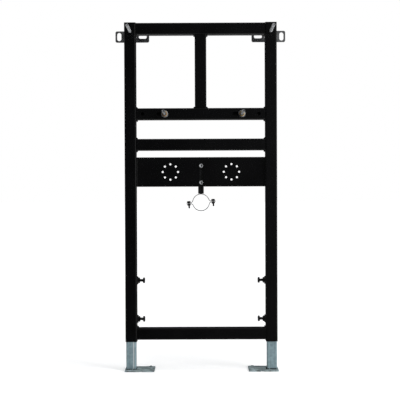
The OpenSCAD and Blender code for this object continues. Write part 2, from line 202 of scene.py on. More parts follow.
class BasinFrameStudio(bpy.types.PropertyGroup):
    lens: FloatProperty(
        name="Lens", description="Focal length of the camera, in millimetres", default=93.86,
        min=20, max=200)
    camera_place: FloatVectorProperty(
        name="Camera", description="Where the camera stands", subtype="XYZ", unit="LENGTH",
        default=(-0.0045, -3.5882, 0.6329))
    camera_turn: FloatVectorProperty(
        name="Camera turn", description="Pitch, yaw and roll of the camera, in degrees",
        default=(-0.7075, 0.0154, -0.2298))
    floor: FloatVectorProperty(
        name="Floor", description="Colour of the floor", subtype="COLOR", size=4, min=0, max=1,
        default=(0.80, 0.80, 0.80, 1))
    key: FloatProperty(
        name="Key lamp", description="Power of the lamp at the right of the camera", default=50,
        min=0, max=500, unit="POWER")
    fill: FloatProperty(
        name="Fill lamp", description="Power of the lamp at the left", default=10, min=0, max=500,
        unit="POWER")
    top: FloatProperty(
        name="Top lamp", description="Power of the lamp above", default=26, min=0, max=500,
        unit="POWER")
    rear: FloatProperty(
        name="Rear lamps", description="Power of each lamp behind", default=14, min=0, max=500,
        unit="POWER")
    around: FloatProperty(
        name="Surroundings", description="Light that comes from all sides", default=0.38, min=0,
        max=2)


# ---------------------------------------------------------------- node helpers
def feed(tree, socket, value):
    """Gives a socket a value, or a link from another socket."""
    if isinstance(value, bpy.types.NodeSocket):
        tree.links.new(value, socket)
    else:
        socket.default_value = value


def put(tree, kind, inputs=None, **settings):
    """Adds a node, sets its options, and feeds each named or numbered input."""
    made = tree.nodes.new(kind)
    for key, value in settings.items():
        setattr(made, key, value)
    for key, value in (inputs or {}).items():
        feed(tree, made.inputs[key], value)
    return made


def blank_material(name, metallic=0.0, specular=0.5):
    """A material with one Principled shader, its tree and the Object coordinates."""
    material = bpy.data.materials.new(name)
    material.use_nodes = True
    tree = material.node_tree
    tree.nodes.clear()
    shader = put(tree, "ShaderNodeBsdfPrincipled")
    shader.inputs["Metallic"].default_value = metallic
    shader.inputs["Specular IOR Level"].default_value = specular
    put(tree, "ShaderNodeOutputMaterial", {"Surface": shader.outputs["BSDF"]})
    place = put(tree, "ShaderNodeTexCoord").outputs["Object"]
    return material, tree, shader, place


def noise(tree, place, scale, detail=2.0, rough=0.5, stretch=None):
    """Noise of this many waves a metre, stretched along an axis if wanted."""
    if stretch:
        place = put(tree, "ShaderNodeMapping", {"Vector": place, "Scale": stretch}).outputs["Vector"]
    return put(tree, "ShaderNodeTexNoise", {
        "Vector": place, "Scale": scale, "Detail": detail, "Roughness": rough}).outputs["Fac"]


def spread(tree, value, low, high, from_low=0.3, from_high=0.7):
    """Spreads a value over the range from low to high."""
    return put(tree, "ShaderNodeMapRange", {
        "Value": value, "From Min": from_low, "From Max": from_high,
        "To Min": low, "To Max": high}).outputs["Result"]


def blend(tree, share, one, other):
    """A colour between one and other."""
    # a Mix node lists the sockets of its other data types too
    return put(tree, "ShaderNodeMix", {0: share, 6: one, 7: other}, data_type="RGBA").outputs[2]


def calc(tree, operation, *values):
    """One arithmetic step."""
    return put(tree, "ShaderNodeMath", dict(enumerate(values)), operation=operation).outputs[0]


def weighted(tree, *parts):
    """The sum of values, each times its weight."""
    total = calc(tree, "MULTIPLY", *parts[0])
    for value, weight in parts[1:]:
        total = calc(tree, "ADD", total, calc(tree, "MULTIPLY", value, weight))
    return total


def edge_share(tree, radius):
    """How near a point is to a sharp edge, from 0 to 1."""
    soft = put(tree, "ShaderNodeBevel", {"Radius": radius}, samples=4).outputs["Normal"]
    plain = put(tree, "ShaderNodeNewGeometry").outputs["Normal"]
    dot = put(tree, "ShaderNodeVectorMath", {0: soft, 1: plain}, operation="DOT_PRODUCT")
    return spread(tree, dot.outputs["Value"], 1.0, 0.0, 0.75, 0.995)


def dress(tree, shader, colour, roughness, height, strength, distance):
    """Gives a shader its colour, its roughness and a height that moves its shading."""
    bump = put(tree, "ShaderNodeBump", {
        "Height": height, "Strength": strength, "Distance": distance})
    feed(tree, shader.inputs["Base Color"], colour)
    feed(tree, shader.inputs["Roughness"], roughness)
    feed(tree, shader.inputs["Normal"], bump.outputs["Normal"])


def shade(tint, factor):
    """A colour made darker or lighter."""
    return tuple(min(1.0, c * factor) for c in tint[:3]) + (1.0,)


def grey(value):
    """A grey of this brightness."""
    return (value, value, value, 1.0)


def powder_coat(name, colour, edge_highlight_colour):
    """Fine-textured powder coat: orange peel, patches of gloss, and lighter edges that are a painted
    highlight.
    """
    material, tree, shader, place = blank_material(name, specular=0.25)
    patches = noise(tree, place, 11.0, 3.0)
    peel = noise(tree, place, 620.0, 2.0)
    grain = noise(tree, place, 2100.0, 1.0)
    # Edges take the lighter colour, more in some patches than others: a painted highlight along the
    # edges.
    edge_highlight_mask = calc(tree, "MULTIPLY", edge_share(tree, 0.0011), spread(tree, patches, 0.35, 1.0))
    coat = blend(tree, spread(tree, patches, 0.0, 1.0), shade(colour, 0.8), shade(colour, 1.25))
    roughness = spread(tree, weighted(tree, (patches, 0.7), (grain, 0.3)), 0.18, 0.27)
    dress(tree, shader, blend(tree, edge_highlight_mask, coat, edge_highlight_colour), roughness,
          weighted(tree, (peel, 0.75), (grain, 0.25)), 0.20, 0.00010)
    return material


def moulded_plastic(name, colour):
    """Moulded plastic with a fine spark-eroded grain and a few scuffs."""
    material, tree, shader, place = blank_material(name, specular=0.18)
    grain = noise(tree, place, 1500.0, 2.0)
    scuff = noise(tree, place, 60.0, 4.0, 0.7, (1.0, 3.0, 1.0))
    scuffed = spread(tree, scuff, 0.0, 1.0, 0.55, 0.75)
    dress(tree, shader, blend(tree, scuffed, shade(colour, 0.9), shade(colour, 2.2)),
          spread(tree, scuff, 0.30, 0.48), grain, 0.30, 0.00010)
    return material


def blackened_steel(name, colour, wear_and_highlight):
    """Blackened steel: dark, oily in patches, its edges lighter by the given factor: rubbed wear, and a
    painted highlight where the factor is large.
    """
    material, tree, shader, place = blank_material(name, metallic=0.6)
    oil = noise(tree, place, 90.0, 3.0)
    grain = noise(tree, place, 1300.0, 2.0)
    # The mask for the lighter edges: rubbed wear and a painted highlight.
    rubbed = calc(tree, "MULTIPLY", edge_share(tree, 0.0005), spread(tree, oil, 0.1, 0.8))
    dark = blend(tree, spread(tree, oil, 0.0, 1.0), shade(colour, 0.7), shade(colour, 1.5))
    dress(tree, shader, blend(tree, rubbed, dark, shade(colour, wear_and_highlight)), spread(tree, oil, 0.28, 0.44),
          grain, 0.20, 0.00006)
    return material


def galvanised_tube(name, colour):
    """Galvanised tube: drawing lines along its length, small spangles, dull patches and a pale stripe
    down the left leg near its inner edge, a painted highlight.
    """
    material, tree, shader, place = blank_material(name, metallic=0.35)
    lines = noise(tree, place, 1.0, 3.0, 0.6, (420.0, 420.0, 5.0))
    clouds = noise(tree, place, 22.0, 4.0, 0.6, (1.0, 1.0, 0.45))
    spangle = put(tree, "ShaderNodeTexVoronoi", {"Vector": place, "Scale": 150.0})
    cell = put(tree, "ShaderNodeSeparateColor", {"Color": spangle.outputs["Color"]}).outputs[0]
    mottle = weighted(tree, (lines, 0.45), (clouds, 0.40), (cell, 0.15))
    coat = blend(tree, spread(tree, mottle, 0.0, 1.0, 0.35, 0.65), shade(colour, 0.72),
                 shade(colour, 1.22))
    # A pale stripe down the left leg near its inner edge, at a fixed X: a painted highlight.
    across = put(tree, "ShaderNodeSeparateXYZ", {"Vector": place}).outputs["X"]
    off = calc(tree, "ABSOLUTE", calc(tree, "SUBTRACT", across, LEG_HIGHLIGHT_X))
    seam, highlight_stripe_colour = spread(tree, off, 1.0, 0.0, 0.0011, 0.0022), (0.62, 0.66, 0.67, 1)
    dress(tree, shader, blend(tree, seam, coat, highlight_stripe_colour),
          spread(tree, mottle, 0.36, 0.56, 0.35, 0.65), lines, 0.25, 0.00008)
    return material


def dull_zinc(name, colour):
    """Hot-dipped plate: rough, blotchy and greenish grey, with small dark pits."""
    material, tree, shader, place = blank_material(name, metallic=0.30)
    blotch = noise(tree, place, 48.0, 5.0, 0.65)
    rough = noise(tree, place, 420.0, 3.0, 0.6)
    pits = put(tree, "ShaderNodeTexVoronoi", {"Vector": place, "Scale": 260.0}).outputs["Distance"]
    pit = calc(tree, "MULTIPLY", spread(tree, pits, 1.0, 0.0, 0.05, 0.28),
               spread(tree, blotch, 0.0, 1.0, 0.5, 0.65))
    zinc = blend(tree, spread(tree, blotch, 0.0, 1.0, 0.40, 0.60), shade(colour, 0.50),
                 shade(colour, 1.60))
    dress(tree, shader, blend(tree, pit, zinc, shade(colour, 0.18)), spread(tree, rough, 0.46, 0.72),
          calc(tree, "SUBTRACT", calc(tree, "ADD", rough, blotch), pit), 0.45, 0.00025)
    return material


def bright_zinc(name, colour, metallic=1.0):
    """Bright zinc plating with a faint haze, fine scratches and lighter rubbed edges."""
    material, tree, shader, place = blank_material(name, metallic)
    haze = noise(tree, place, 70.0, 3.0)
    scratch = noise(tree, place, 1.0, 2.0, 0.5, (160.0, 160.0, 1400.0))
    rubbed = calc(tree, "MULTIPLY", edge_share(tree, 0.0004), 0.5)
    plate = blend(tree, spread(tree, haze, 0.0, 1.0), shade(colour, 0.86), shade(colour, 1.10))
    dress(tree, shader, blend(tree, rubbed, plate, shade(colour, 1.25)),
          spread(tree, weighted(tree, (haze, 0.6), (scratch, 0.4)), 0.20, 0.38), scratch, 0.12, 0.00004)
    return material


def yellow_zinc(name, colour):
    """Yellow passivated zinc, whose tint drifts between straw and rose."""
    material, tree, shader, place = blank_material(name, metallic=1.0)
    drift = noise(tree, place, 130.0, 2.0)
    grain = noise(tree, place, 1100.0, 2.0)
    rose = (colour[0] * 1.02, colour[1] * 0.80, colour[2] * 1.15, 1.0)
    straw = (colour[0] * 1.05, colour[1] * 1.08, colour[2] * 0.90, 1.0)
    dress(tree, shader, blend(tree, spread(tree, drift, 0.0, 1.0), rose, straw),
          spread(tree, grain, 0.26, 0.42), grain, 0.12, 0.00005)
    return material


def burnt_weld_and_shade(name, colour):
    """A weld that burned the zinc away: near-black scale with bright specks of spatter; the scale is
    partly real and partly a painted shade at the foot of the leg.
    """
    material, tree, shader, place = blank_material(name, metallic=0.3)
    scale = noise(tree, place, 190.0, 3.0, 0.6)
    speck = spread(tree, noise(tree, place, 330.0, 1.0), 0.0, 1.0, 0.60, 0.66)
    # Near-black scale: burnt zinc, and a painted shade in the corner where the leg meets its foot.
    dark = blend(tree, spread(tree, scale, 0.0, 1.0, 0.52, 0.66), shade(colour, 0.015),
                 shade(colour, 0.16))
    dress(tree, shader, blend(tree, speck, dark, shade(colour, 3.0)), spread(tree, scale, 0.35, 0.70),
          scale, 0.5, 0.00025)
    return material


def gloss_room(tree, direction):
    """What shiny faces see that way: dark behind the camera with a ring of light around it, and
    behind the object a dark wall between soft boxes, over a pale floor."""
    way = put(tree, "ShaderNodeSeparateXYZ", {"Vector": direction}).outputs

    def fade(axis, start, end, one, other):
        """Goes over from one to other as the direction turns from start to end along an axis."""
        return blend(tree, spread(tree, way[axis], 0.0, 1.0, start, end), one, other)

    dark = fade("X", -0.10, 0.12, (0.010, 0.010, 0.011, 1), grey(0.22))
    light = fade("X", -0.22, 0.38, grey(0.15), grey(1.6))
    front = fade("Y", -0.94, -0.80, dark, light)
    wall = fade("Z", -0.35, -0.16, grey(0.70), grey(0.002))
    behind = fade("Z", 0.30, 0.60, wall, grey(0.45))
    aside = spread(tree, calc(tree, "ABSOLUTE", way["X"]), 0.0, 1.0, 0.45, 0.70)
    return fade("Y", -0.55, -0.25, front, blend(tree, aside, behind, grey(0.40)))


# ---------------------------------------------------------------- geometry trees
def tree_with(name, sockets):
    """A geometry tree with one geometry output and these named inputs."""
    tree = bpy.data.node_groups.new(name, "GeometryNodeTree")
    tree.interface.new_socket("Geometry", in_out="OUTPUT", socket_type="NodeSocketGeometry")
    for label, kind, value in sockets:
        socket = tree.interface.new_socket(label, in_out="INPUT", socket_type=kind)
        if value is not None:
            socket.default_value = value
    return tree, put(tree, "NodeGroupInput").outputs, put(tree, "NodeGroupOutput").inputs[0]


def close_tree(tree, inputs, output, geometry, smooth):
    """Ends a tree: smooth shading if wanted, real geometry, and its material."""
    if smooth:
        geometry = put(tree, "GeometryNodeSetShadeSmooth", {"Geometry": geometry}).outputs[0]
    real = put(tree, "GeometryNodeRealizeInstances", {"Geometry": geometry}).outputs[0]
    dressed = put(tree, "GeometryNodeSetMaterial", {
        "Geometry": real, "Material": inputs["Material"]}).outputs[0]
    tree.links.new(dressed, output)


def thread_tree():
    """A round bar along Z whose surface is cut by one helix, tapered to its root at both ends."""
    tree, inputs, output = tree_with("Cut thread", [
        ("Radius", "NodeSocketFloat", 0.005), ("Pitch", "NodeSocketFloat", 0.0015),
        ("Depth", "NodeSocketFloat", 0.0009), ("Length", "NodeSocketFloat", 0.1),
        ("Around", "NodeSocketInt", 24), ("Steps", "NodeSocketInt", 6),
        ("Material", "NodeSocketMaterial", None)])
    turns = calc(tree, "DIVIDE", inputs["Length"], inputs["Pitch"])
    rows = calc(tree, "ROUND", calc(tree, "MULTIPLY", turns, inputs["Steps"]))
    bar = put(tree, "GeometryNodeMeshCylinder", {
        "Vertices": inputs["Around"], "Side Segments": rows, "Radius": 1.0,
        "Depth": inputs["Length"]}, fill_type="NONE").outputs["Mesh"]
    split = put(tree, "ShaderNodeSeparateXYZ", {
        "Vector": put(tree, "GeometryNodeInputPosition").outputs[0]}).outputs
    turn = calc(tree, "DIVIDE", calc(tree, "ARCTAN2", split["Y"], split["X"]), math.tau)
    climb = calc(tree, "DIVIDE", split["Z"], inputs["Pitch"])
    wave = calc(tree, "FRACT", calc(tree, "SUBTRACT", climb, turn))
    flank = calc(tree, "ABSOLUTE", calc(tree, "SUBTRACT", calc(tree, "MULTIPLY", wave, 2.0), 1.0))
    half = calc(tree, "MULTIPLY", inputs["Length"], 0.5)
    from_end = calc(tree, "SUBTRACT", half, calc(tree, "ABSOLUTE", split["Z"]))
    lead_in = calc(tree, "SUBTRACT", 1.0, calc(tree, "DIVIDE", from_end, inputs["Pitch"]))
    cut = calc(tree, "MULTIPLY", calc(tree, "MAXIMUM", flank, lead_in), inputs["Depth"])
    size = calc(tree, "SUBTRACT", inputs["Radius"], cut)
    place = put(tree, "ShaderNodeCombineXYZ", {
        "X": calc(tree, "MULTIPLY", split["X"], size),
        "Y": calc(tree, "MULTIPLY", split["Y"], size), "Z": split["Z"]}).outputs[0]
    threaded = put(tree, "GeometryNodeSetPosition", {"Geometry": bar, "Position": place}).outputs[0]
    close_tree(tree, inputs, output, threaded, True)
    return tree


def copies_tree():
    """One copy of a template on each point, all turned alike."""
    tree, inputs, output = tree_with("Copies on points", [
        ("Points", "NodeSocketGeometry", None), ("Template", "NodeSocketObject", None),
        ("Turn", "NodeSocketRotation", None), ("Material", "NodeSocketMaterial", None)])
    template = put(tree, "GeometryNodeObjectInfo", {"Object": inputs["Template"]}).outputs["Geometry"]
    placed = put(tree, "GeometryNodeInstanceOnPoints", {
        "Points": inputs["Points"], "Instance": template, "Rotation": inputs["Turn"]}).outputs[0]
    close_tree(tree, inputs, output, placed, False)
    return tree


def bead_tree():
    """A weld bead: flattened ripples one after another along each edge of the seam lines."""
    tree, inputs, output = tree_with("Weld bead", [
        ("Seams", "NodeSocketGeometry", None), ("Ripple gap", "NodeSocketFloat", 0.0022),
        ("Across", "NodeSocketFloat", 0.003), ("Along", "NodeSocketFloat", 0.0019),
        ("Unevenness", "NodeSocketFloat", 0.10), ("Seed", "NodeSocketInt", 7),
        ("Material", "NodeSocketMaterial", None)])
    line = put(tree, "GeometryNodeMeshToCurve", {"Mesh": inputs["Seams"]}).outputs[0]
    spots = put(tree, "GeometryNodeResampleCurve", {
        "Curve": line, "Length": inputs["Ripple gap"]}, mode="LENGTH").outputs[0]
    ripple = put(tree, "GeometryNodeMeshUVSphere", {
        "Segments": 10, "Rings": 6, "Radius": 1.0}).outputs["Mesh"]
    ahead = put(tree, "FunctionNodeAlignRotationToVector", {
        "Vector": put(tree, "GeometryNodeInputTangent").outputs[0]}, axis="Z").outputs[0]
    chance = put(tree, "FunctionNodeRandomValue", {
        "Min": calc(tree, "SUBTRACT", 1.0, inputs["Unevenness"]),
        "Max": calc(tree, "ADD", 1.0, inputs["Unevenness"]),
        "Seed": inputs["Seed"]}, data_type="FLOAT")
    share = next(o for o in chance.outputs if o.enabled)
    wide = calc(tree, "MULTIPLY", inputs["Across"], share)
    size = put(tree, "ShaderNodeCombineXYZ", {
        "X": wide, "Y": wide, "Z": inputs["Along"]}).outputs[0]
    beads = put(tree, "GeometryNodeInstanceOnPoints", {
        "Points": spots, "Instance": ripple, "Rotation": ahead, "Scale": size}).outputs[0]
    close_tree(tree, inputs, output, beads, True)
    return tree


TREES = {"Cut thread": thread_tree, "Copies on points": copies_tree, "Weld bead": bead_tree}


# ---------------------------------------------------------------- mesh helpers
def in_scene(name, data):
    """A new object in the scene."""
    made = bpy.data.objects.new(name, data)
    bpy.context.scene.collection.objects.link(made)
    return made


def settled(holder):
    """The plain mesh that an object's modifier gives. The object goes."""
    seen = bpy.context.evaluated_depsgraph_get()
    mesh = bpy.data.meshes.new_from_object(holder.evaluated_get(seen))
    bpy.data.objects.remove(holder)
    return mesh


def grown(name, tree_name, values, base=None):
    """Runs a geometry tree, made on its first use, and gives the result as a plain mesh."""
    tree = bpy.data.node_groups.get(tree_name) or TREES[tree_name]()
    holder = in_scene(name + "_holder", base or bpy.data.meshes.new(name))
    modifier = holder.modifiers.new(tree_name, "NODES")
    modifier.node_group = tree
    for item in tree.interface.items_tree:
        if item.item_type == "SOCKET" and item.in_out == "INPUT" and item.name in values:
            modifier[item.identifier] = values[item.name]
    mesh = settled(holder)
    if not mesh.polygons:
        raise RuntimeError(f"{name}: the tree {tree_name} made nothing")
    return mesh


def copies(name, mesh, places, turn, material):
    """One mesh of copies that stand on these places, all turned alike."""
    template = bpy.data.objects.new(name + "_template", mesh)
    points = bpy.data.meshes.new(name + "_places")
    points.from_pydata(places, [], [])
    made = grown(name, "Copies on points", {
        "Template": template, "Turn": turn, "Material": material}, points)
    bpy.data.objects.remove(template)
    return made


def hexagon(angle, flats):
    """Distance from the middle of a hexagon to its side; a corner lies at angle 0."""
    return flats / 2 / math.cos(angle % (math.pi / 3) - math.pi / 6)


def ring(radius, z, steps=ROUND_STEPS):
    """A level circle of points."""
    return [Vector((radius * math.cos(a), radius * math.sin(a), z))
            for a in (math.tau * k / steps for k in range(steps))]


def rings(*profile):
    """The circles that pairs of radius and height give."""
    return [ring(radius, z) for radius, z in profile]


def hexagon_ring(flats, z, face=None, side=1, steps=ROUND_STEPS):
    """A hexagon of points. With face, a chamfer that starts there takes its corners below z, or
    above it with side -1."""
    points = []
    for k in range(steps):
        a = math.tau * k / steps
        r = hexagon(a, flats)
        drop = max(0.0, r - face) * CHAMFER * side if face else 0.0
        points.append(Vector((r * math.cos(a), r * math.sin(a), z - drop)))
    return points


def loft(name, loops, hollow=False):
    """A closed mesh through loops of points: capped at both ends, or joined end to start if hollow."""
    count, last = len(loops[0]), len(loops)
    faces = []
    for i in range(last if hollow else last - 1):
        low, high = i * count, (i + 1) % last * count
        faces += [(low + k, low + (k + 1) % count, high + (k + 1) % count, high + k)
                  for k in range(count)]
    if not hollow:
        end = range((last - 1) * count, last * count)
        faces += [tuple(reversed(range(count))), tuple(end)]
    mesh = bpy.data.meshes.new(name)
    mesh.from_pydata([p for points in loops for p in points], [], faces)
    mesh.validate()
    return mesh


def nut_mesh(name, flats, height, bore, flange=0.0, flange_height=0.0):
    """A hexagon nut standing on z = 0, its corners chamfered, its bore countersunk."""
    face, half, sink = flats * FACE_SHARE, bore / 2, bore * 0.07
    start = [ring(face, 0), hexagon_ring(flats, 0, face, -1)]
    if flange:
        rim = flange / 2
        start = rings((rim - EDGE_IN, 0), (rim, EDGE_UP), (rim, flange_height * 0.6),
                      (flats * 0.60, flange_height)) + [hexagon_ring(flats, flange_height)]
    return loft(name, start + [hexagon_ring(flats, height, face)] + rings(
        (face, height), (half + sink, height), (half, height - sink), (half, sink),
        (half + sink, 0)), hollow=True)


def head_mesh(name, flats, height):
    """A hexagon bolt head standing on z = 0 with a dished top."""
    face = flats * FACE_SHARE
    return loft(name, [ring(face, 0), hexagon_ring(flats, 0, face, -1),
                       hexagon_ring(flats, height, face)] + rings(
        (face, height), (flats * 0.34, height), (flats * 0.29, height - 0.0006)))


def washer_mesh(name, outer, bore, thick):
    """A flat washer with its outer edges rolled by the punch."""
    edge, hole, rim = outer / 2, bore / 2, thick * 0.22
    slope, burr = rim * 0.3, rim * 0.5
    return loft(name, rings(
        (edge - rim, 0), (edge - slope, slope), (edge, rim), (edge, thick - rim),
        (edge - slope, thick - slope), (edge - rim, thick), (hole + burr, thick),
        (hole, thick - burr), (hole, burr), (hole + burr, 0)), hollow=True)


def threaded_bar(name, width, pitch, length, material, socket=False):
    """A threaded bar from z = 0 to z = length, with a hexagon socket in its upper end if wanted."""
    details = bpy.context.scene.basin_details
    around, depth = details.thread_around, pitch * details.thread_depth
    mesh = grown(name, "Cut thread", {
        "Radius": width / 2, "Pitch": pitch, "Depth": depth, "Length": length,
        "Around": around, "Steps": THREAD_ROWS, "Material": material})
    root = width / 2 - depth
    bm = bmesh.new()
    bm.from_mesh(mesh)
    for upper in (True, False):
        sign = 1 if upper else -1
        end = sign * length / 2
        rim = sorted((v for v in bm.verts if v.is_boundary and v.co.z * sign > 0),
                     key=lambda v: math.atan2(v.co.y, v.co.x) % math.tau)
        inner = [ring(root - EDGE_IN, end, around)]
        if upper and socket:
            inner = [ring(SOCKET_FLATS * 0.62, end, around),
                     hexagon_ring(SOCKET_FLATS, end - EDGE_UP, steps=around),
                     hexagon_ring(SOCKET_FLATS, end - SOCKET_DEEP, steps=around),
                     ring(SOCKET_FLATS * 0.2, end - SOCKET_DEEP - 0.0008, around)]
        loops = [rim] + [[bm.verts.new(p) for p in points] for points in inner]
        for a, b in zip(loops, loops[1:]):
            for k in range(around):
                j = (k + 1) % around
                corners = (a[k], a[j], b[j], b[k])
                bm.faces.new(corners if upper else corners[::-1])
        bm.faces.new(loops[-1] if upper else loops[-1][::-1])
    bmesh.ops.translate(bm, verts=bm.verts, vec=(0, 0, length / 2))
    bm.to_mesh(mesh)
    bm.free()
    return mesh


def pointing(place, axis):
    """A matrix that stands a part on place with its Z along axis."""
    turn = Vector((0, 0, 1)).rotation_difference(Vector(axis)).to_matrix().to_4x4()
    return Matrix.Translation(place) @ turn


def lift(z):
    """A matrix that moves a part up."""
    return Matrix.Translation((0, 0, z))


def joined(name, *parts):
    """One mesh out of several, each with its own matrix."""
    bm = bmesh.new()
    for mesh, matrix in parts:
        mesh.transform(matrix)
        bm.from_mesh(mesh)
    made = bpy.data.meshes.new(name)
    bm.to_mesh(made)
    bm.free()
    return made


def piece(name, mesh, material, nodes, crease=NUT_CREASE):
    """Puts a finished mesh in the scene in place of these solids, on the body that carries them."""
    mesh.materials.clear()
    mesh.materials.append(material)
    for polygon in mesh.polygons:
        polygon.material_index = 0
    if crease:
        mesh.shade_smooth()
        mesh.set_sharp_from_angle(angle=math.radians(crease))
    made = in_scene(name, mesh)
    first = frame["nodes"][nodes[0]]
    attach(made, first["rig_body"])
    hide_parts(*nodes)


def softened(name, node, width, material, segments=2):
    """Puts a copy of a sheet-metal solid in its place, with its sharp edges rounded."""
    mesh = frame["nodes"][node].data.copy()
    bm = bmesh.new()
    bm.from_mesh(mesh)
    bmesh.ops.remove_doubles(bm, verts=bm.verts, dist=SAME_POINT)
    bmesh.ops.dissolve_limit(bm, angle_limit=SAME_PLANE, verts=bm.verts, edges=bm.edges)
    bm.to_mesh(mesh)
    bm.free()
    mesh.shade_smooth()
    mesh.set_sharp_from_angle(angle=math.radians(SHEET_CREASE))
    holder = in_scene(name + "_holder", mesh)
    rounding = holder.modifiers.new("Rounded edges", "BEVEL")
    rounding.width, rounding.segments = width, segments
    rounding.limit_method, rounding.angle_limit = "ANGLE", math.radians(SHEET_CREASE)
    rounding.harden_normals = True
    piece(name, settled(holder), material, [node], crease=0)


def middle(node):
    """Middle of the box of a solid."""
    low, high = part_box(node)
    return (low + high) / 2


def finish_of(name):
    """A finish made by the finishes operator."""
    material = bpy.data.materials.get(name)
    if material is None:
        raise RuntimeError(f"run the finishes first: {name} is missing")
    return material


# ---------------------------------------------------------------- operators
class BASINFRAME_OT_finishes(bpy.types.Operator):
    """Make the finishes and give one to every solid"""
    bl_idname = "basinframe.finishes"
    bl_label = "Finishes"

    def execute(self, context):
        tint = context.scene.basin_finishes
        finishes = {
            "black_paint": powder_coat("Black powder coat", tint.coat, tint.coat_edge_highlight),
            "black_plastic": moulded_plastic("Black moulded plastic", tint.plastic),
            # Edges 14 times lighter: a painted highlight along the edges of the blackened steel.
            "black_steel": blackened_steel("Blackened steel", tint.steel, 14.0),
            "galvanised": galvanised_tube("Galvanised tube", tint.galvanised),
            "bright_zinc": bright_zinc("Bright zinc plating", tint.zinc),
            "yellow_zinc": yellow_zinc("Yellow zinc plating", tint.yellow)}
        plate = dull_zinc("Dull zinc plate", tint.foot)
        burnt_weld_and_shade("Burnt weld", tint.foot)
        # Edges twice as light: rubbed wear with a faint painted highlight.
        blackened_steel("Oiled black steel", shade(tint.steel, 0.4), 2.0)
        # A lighter, less metallic copy of the bright zinc for the wall rods and their nuts: its extra
        # lightness is painted light.
        bright_zinc("Pale zinc plating", shade(tint.zinc, 1.1), 0.7)
        for name, solid in frame["nodes"].items():
            finish = plate if name.startswith("foot_") else finishes[SLOTS[name]]
            solid.data.materials.clear()
            solid.data.materials.append(finish)
        return {"FINISHED"}


class BASINFRAME_OT_wall_anchors(bpy.types.Operator):
    """Build the threaded wall rods, their nuts and the slotted brackets"""
    bl_idname = "basinframe.wall_anchors"
    bl_label = "Wall anchors"

    def execute(self, context):
        details = context.scene.basin_details
        zinc, coat = finish_of("Pale zinc plating"), finish_of("Black powder coat")
        flange_wide, flange_thick = 0.022, 0.002
        for side in ("left", "right"):
            low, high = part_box(f"wall_rod_{side}")
            centre = (low + high) / 2
            rod = threaded_bar("rod", M10, details.pitch_m10, high.y - low.y, zinc, socket=True)
            rod.transform(pointing((centre.x, high.y, centre.z), FORWARD))
            piece(f"threaded_wall_rod_{side}", rod, zinc, [f"wall_rod_{side}"], THREAD_CREASE)
            nut_low, nut_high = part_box(f"bracket_nut_{side}")
            nut = nut_mesh("nut", M10_FLATS, nut_high.y - nut_low.y, M10, flange_wide, flange_thick)
            nut.transform(pointing((centre.x, nut_high.y, centre.z), FORWARD))
            piece(f"flanged_bracket_nut_{side}", nut, zinc, [f"bracket_nut_{side}"])
            softened(f"stamped_bracket_{side}", f"wall_bracket_{side}", details.edge_round,
                     finish_of("Bright zinc plating"))
        low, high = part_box("rod_nut_left")
        names = ["rod_nut_left", "rod_nut_right"]
        nuts = copies("rod_nuts", nut_mesh("nut", M10_FLATS, high.y - low.y, M10),
                      [(middle(n).x, low.y, middle(n).z) for n in names], (-math.pi / 2, 0, 0), coat)
        piece("welded_rod_nuts", nuts, coat, names)
        return {"FINISHED"}


class BASINFRAME_OT_basin_studs(bpy.types.Operator):
    """Build the two studs for the washbasin with their washers and nuts"""
    bl_idname = "basinframe.basin_studs"
    bl_label = "Basin studs"

    def execute(self, context):
        details = context.scene.basin_details
        zinc, yellow = finish_of("Bright zinc plating"), finish_of("Yellow zinc plating")
        neck_front, neck_width, bore = -0.012, 0.0094, M10 + 0.0006
        head_wide, head_thick, head_round = 0.010, 0.005, 0.0008
        for side in ("left", "right"):
            low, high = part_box(f"basin_stud_{side}")
            x, z = middle(f"basin_stud_{side}").x, middle(f"basin_stud_{side}").z
            neck_back = high.y - OVERLAP
            bar = threaded_bar("bar", M10, details.pitch_m10, neck_front - low.y, zinc, socket=True)
            neck = loft("neck", rings((neck_width / 2, 0), (neck_width / 2, neck_back - neck_front)))
            head = bpy.data.meshes.new("head")
            bm = bmesh.new()
            bmesh.ops.create_cube(bm, size=1)
            bmesh.ops.scale(bm, verts=bm.verts, vec=(head_wide, head_thick, high.z - low.z))
            bmesh.ops.bevel(bm, geom=bm.edges[:], offset=head_round, segments=2, affect="EDGES")
            bm.to_mesh(head)
            bm.free()
            stud = joined("stud", (bar, pointing((x, neck_front, z), FORWARD)),
                          (neck, pointing((x, neck_back, z), FORWARD)),
                          (head, Matrix.Translation((x, high.y - head_thick / 2, z))))
            piece(f"hammer_head_stud_{side}", stud, zinc, [f"basin_stud_{side}"], THREAD_CREASE)
            low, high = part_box(f"basin_washer_{side}")
            washer = washer_mesh("washer", high.x - low.x, bore, high.y - low.y - SLIDE_GAP)
            washer.transform(pointing((x, high.y - SLIDE_GAP, z), FORWARD))
            piece(f"rolled_washer_{side}", washer, zinc, [f"basin_washer_{side}"])
            low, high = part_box(f"basin_nut_{side}")
            nut = nut_mesh("nut", M10_FLATS, high.y - low.y, M10)
            nut.transform(pointing((x, high.y, z), FORWARD))
            piece(f"yellow_basin_nut_{side}", nut, yellow, [f"basin_nut_{side}"])
        return {"FINISHED"}


